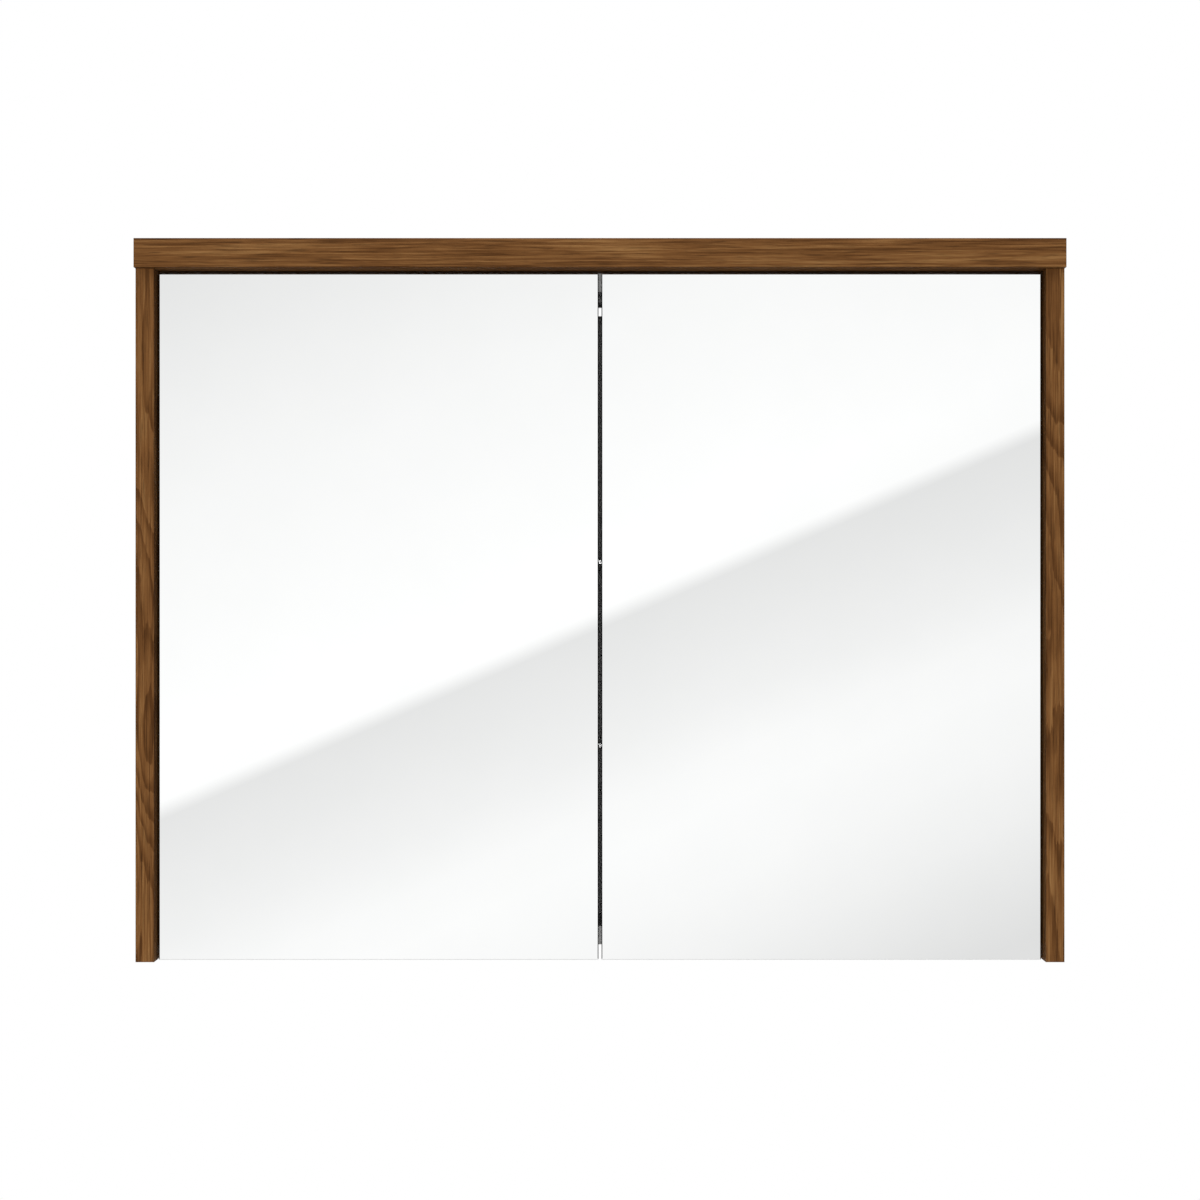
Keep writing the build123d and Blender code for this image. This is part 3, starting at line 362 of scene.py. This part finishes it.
def walnut(name, axis, ring_repeats, ring_share, move):
    """Oiled walnut veneer: growth rings as level lines of a drawn-out field, streaks and pores."""
    tree = Material(name)
    field = tree.grain(axis, ring_repeats, *RING_FIELD, move=move)
    wander = tree.grain(axis, *RING_WANDER)
    drift = tree.math("ADD", tree.math("MULTIPLY", field, RING_COUNT), wander)
    rings = tree.ramp(tree.math("FRACT", drift), RING_TONES)
    streaks = tree.grain(axis, *STREAKS, move)
    fibres = tree.grain(axis, *FIBRES)
    shares = (
        (rings, ring_share),
        (streaks, FIGURE_SHARE - ring_share),
        (tree.grain(axis, *LINES, move), LINE_SHARE),
        (tree.grain(axis, *CLOUDS, move), CLOUD_SHARE),
    )
    body = 0.0
    for pattern, share in shares:
        body = tree.math("ADD", tree.math("MULTIPLY", pattern, share), body)
    strokes = tree.ramp(tree.grain(axis, *STROKES, move), STROKE_TONES)
    pores = tree.ramp(tree.grain(axis, *PORES), PORE_TONES)
    colour = tree.ramp(body, WALNUT_TONES)
    colour = tree.shade(FIBRE_SHADE, colour, tree.ramp(fibres, FIBRE_TONES))
    colour = tree.shade(STROKE_SHADE, colour, strokes)
    colour = tree.shade(PORE_SHADE, colour, pores)
    relief = tree.math("ADD", tree.math("MULTIPLY", fibres, FIBRE_HEIGHT), pores)
    tree.surface(
        Base_Color=tree.worn(colour, *WALNUT_WEAR),
        Roughness=tree.ramp(streaks, WALNUT_ROUGHNESS),
        Specular_IOR_Level=WALNUT_GLOSS,
        Normal=tree.bump(relief, *WALNUT_RELIEF),
    )
    return tree.material


def melamine():
    """Matt grey board with a fine pearl texture and paler worn edges."""
    tree = Material("grey_melamine")
    fine = tree.speckle(*GREY_FINE)
    colour = tree.ramp(tree.speckle(*GREY_BROAD), GREY_TONES)
    colour = tree.shade(GREY_SHADE, colour, tree.ramp(fine, GREY_SPECKS))
    tree.surface(
        Base_Color=tree.worn(colour, *GREY_WEAR),
        Roughness=tree.ramp(fine, GREY_ROUGHNESS),
        Specular_IOR_Level=GREY_GLOSS,
        Normal=tree.bump(fine, *GREY_RELIEF),
    )
    return tree.material


def silvered():
    """Silvered glass: clean reflection on its two faces, green ground glass at its edges."""
    tree = Material("silvered_mirror")
    face = tree.facing("Y", MIRROR_FACING)
    silver = tree.ramp(tree.speckle(*SILVER_HAZE), SILVER_TONES)
    green = tree.ramp(tree.speckle(*GROUND_EDGE), GROUND_TONES)
    tree.surface(
        Base_Color=tree.mix(face, green, silver),
        Metallic=face,
        Roughness=tree.ramp(face, MIRROR_ROUGHNESS),
    )
    return tree.material


def shelf_glass():
    """Clear glass with a faint green body and greener ground edges."""
    tree = Material("shelf_glass")
    face = tree.facing("Z", SHELF_FACING)
    clear = tree.ramp(tree.speckle(*SHELF_HAZE), SHELF_TONES)
    tree.surface(
        Base_Color=tree.mix(face, SHELF_EDGE, clear),
        Roughness=tree.ramp(face, SHELF_ROUGHNESS),
        Transmission_Weight=1.0,
        IOR=GLASS_IOR,
    )
    return tree.material


def metal(name, tint, grain_axis, roughness, relief, flakes):
    """Plated or drawn steel with a drawn grain, soft smears and bright worn edges."""
    tree = Material(name)
    grain = tree.grain(grain_axis, *METAL_GRAIN)
    smears = tree.speckle(*METAL_SMEARS)
    dull = tuple(value * METAL_DULL for value in tint)
    bright = tuple(min(value * METAL_BRIGHT, METAL_LIMIT) for value in tint)
    colour = tree.ramp(smears, [(0.32, dull), (0.68, tint)])
    if flakes:
        flake = tree.parts(tree.cells(FLAKE_REPEATS))["X"]
        colour = tree.shade(flakes, colour, tree.ramp(flake, FLAKE_TONES))
    low, high = roughness
    tree.surface(
        Base_Color=tree.worn(colour, *METAL_WEAR, bright),
        Metallic=1.0,
        Roughness=tree.ramp(smears, [(0.3, low), (0.7, high)]),
        Normal=tree.bump(grain, relief, *METAL_RELIEF),
    )
    return tree.material


def plastic():
    """Moulded grey plastic with a fine spark texture."""
    tree = Material("grey_plastic")
    spark = tree.speckle(*PLASTIC_SPARK)
    tree.surface(
        Base_Color=tree.ramp(tree.speckle(*PLASTIC_CLOUDS), PLASTIC_TONES),
        Roughness=tree.ramp(spark, PLASTIC_ROUGHNESS),
        Normal=tree.bump(spark, *PLASTIC_RELIEF),
    )
    return tree.material


def silicone():
    """Soft clear buffers, slightly milky."""
    tree = Material("clear_silicone")
    milk = tree.speckle(*SILICONE_MILK)
    tree.surface(
        Base_Color=tree.ramp(milk, SILICONE_TONES),
        Roughness=tree.ramp(milk, SILICONE_ROUGHNESS),
        Transmission_Weight=SILICONE_CLEAR,
        IOR=SILICONE_IOR,
        Normal=tree.bump(milk, *SILICONE_RELIEF),
    )
    return tree.material


def beech():
    """Pale dowel wood with fine flecks along the dowel."""
    tree = Material("beech_dowel")
    flecks = tree.grain("X", *BEECH_FLECKS)
    tree.surface(
        Base_Color=tree.ramp(flecks, BEECH_TONES),
        Roughness=tree.ramp(flecks, BEECH_ROUGHNESS),
        Normal=tree.bump(flecks, *BEECH_RELIEF),
    )
    return tree.material


def slot_materials():
    """One material for each slot of the record, apart from the walnut boards."""
    looks = {
        "grey_board": melamine(),
        "silvered_mirror": silvered(),
        "shelf_glass": shelf_glass(),
        "beech": beech(),
        "grey_plastic": plastic(),
        "clear_buffer": silicone(),
    }
    for name, recipe in METALS.items():
        looks[name] = metal(name, *recipe)
    return looks


def dress_all():
    """Dress every node by its slot, and each walnut board along its own length."""
    looks = slot_materials()
    boards = {node: walnut(*recipe) for node, recipe in WALNUT_BOARDS.items()}
    for part in frame["record"]["subparts"]:
        node = part["node"]
        for slot in frame["nodes"][node].material_slots:
            slot.material = boards.get(node) or looks[part["material_slot"]]


def plane(name, width, height):
    """A flat sheet in its own XY plane."""
    mesh = bpy.data.meshes.new(name)
    x, y = width / 2, height / 2
    mesh.from_pydata([(-x, -y, 0), (x, -y, 0), (x, y, 0), (-x, y, 0)], [], [(0, 1, 2, 3)])
    sheet = bpy.data.objects.new(name, mesh)
    bpy.context.scene.collection.objects.link(sheet)
    return sheet


def reflected_card():
    """The upright card that only the mirrors and other gloss see."""
    card = plane("reflected_card", CARD_WIDTH, CARD_HEIGHT)
    card.rotation_euler = UPRIGHT
    card.location = (0, MIRROR_Y - CARD_DISTANCE, MIDDLE_Z)
    card.visible_camera = False
    card.visible_diffuse = False
    card.visible_shadow = False
    tree = Material("card_tones")
    place = tree.parts(tree.place["Object"])
    cut = tree.math("ADD", tree.math("MULTIPLY", place["X"], CARD_SLOPE), CARD_DROP)
    below = tree.math("SUBTRACT", cut, place["Y"])
    level = tree.math("ADD", tree.math("DIVIDE", below, CARD_SPAN), 0.5)
    right = tree.ramp(tree.math("DIVIDE", place["X"], CARD_RIGHT_SPAN), CARD_RIGHT_TONES)
    tone = tree.shade(1.0, tree.ramp(level, CARD_TONES), right)
    faded = tree.ramp(tree.border(CARD_WIDTH, CARD_HEIGHT), CARD_BORDER)
    white = tuple(value / CARD_LEVEL for value in WHITE)
    tree.surface(
        Base_Color=BLACK,
        Roughness=1.0,
        Specular_IOR_Level=0.0,
        Emission_Color=tree.mix(faded, tone, white),
        Emission_Strength=tree.math("MULTIPLY", tree.first_hand(), CARD_LEVEL),
    )
    card.data.materials.append(tree.material)


def pale_floor():
    """The floor under the cabinet, fading out before its edges."""
    floor = plane("pale_floor", FLOOR_SIZE, FLOOR_SIZE)
    floor.location = (0, FLOOR_DEPTH, FLOOR_Z)
    tree = Material("pale_floor")
    mottle = tree.speckle(*FLOOR_MOTTLE)
    tree.surface(
        Base_Color=tree.ramp(mottle, FLOOR_TONES),
        Roughness=tree.ramp(mottle, FLOOR_ROUGHNESS),
        Alpha=tree.ramp(tree.border(FLOOR_SIZE, FLOOR_SIZE), FLOOR_FADE),
    )
    floor.data.materials.append(tree.material)


def sky():
    """A white surround for the camera, gloss and glass, and a plain soft light from above."""
    world = bpy.data.worlds.new("studio")
    bpy.context.scene.world = world
    tree = Tree(world)
    rays = tree.nodes.new("ShaderNodeLightPath").outputs
    seen = tree.math("MAXIMUM", rays["Is Camera Ray"], rays["Is Glossy Ray"])
    seen = tree.math("MAXIMUM", seen, rays["Is Transmission Ray"])
    levels = {
        "Value": tree.parts(tree.place["Generated"])["Z"],
        "From Min": SKY_BOTTOM,
        "From Max": SKY_TOP,
        "To Min": SKY_BELOW,
        "To Max": SKY_ABOVE,
    }
    soft = tree.add("ShaderNodeMapRange", levels).outputs[0]
    white = tree.math("MULTIPLY", seen, tree.first_hand())
    strength = tree.add("ShaderNodeMix", {0: white, 2: soft, 3: 1.0}).outputs[0]
    background = tree.add("ShaderNodeBackground", {"Color": WHITE, "Strength": strength})
    tree.add("ShaderNodeOutputWorld", {"Surface": background.outputs[0]})


def soft_lamp(name, place, size, power):
    """A large square lamp that faces the middle of the cabinet."""
    data = bpy.data.lights.new(name, "AREA")
    data.size = size
    data.energy = power
    lamp = bpy.data.objects.new(name, data)
    bpy.context.scene.collection.objects.link(lamp)
    lamp.location = place
    lamp.visible_glossy = False
    lamp.visible_camera = False
    aim = bpy.data.objects.new(f"{name}_aim", None)
    aim.location = (0, 0, MIDDLE_Z)
    bpy.context.scene.collection.objects.link(aim)
    follow = lamp.constraints.new("TRACK_TO")
    follow.target = aim
    follow.track_axis = "TRACK_NEGATIVE_Z"
    follow.up_axis = "UP_Y"


def camera():
    """The level camera, square to the mirrors."""
    data = bpy.data.cameras.new("camera")
    data.lens = CAMERA_LENS
    data.sensor_width = CAMERA_SENSOR
    data.shift_y = CAMERA_SHIFT
    viewer = bpy.data.objects.new("camera", data)
    bpy.context.scene.collection.objects.link(viewer)
    viewer.location = (0, CAMERA_Y, MIDDLE_Z)
    viewer.rotation_euler = UPRIGHT
    bpy.context.scene.camera = viewer


camera()
sky()
soft_lamp("front_lamp", FRONT_PLACE, FRONT_SIZE, FRONT_POWER)
soft_lamp("key_lamp", KEY_PLACE, KEY_SIZE, KEY_POWER)
reflected_card()
pale_floor()
dress_all()

bpy.context.scene.view_settings.view_transform = "Standard"
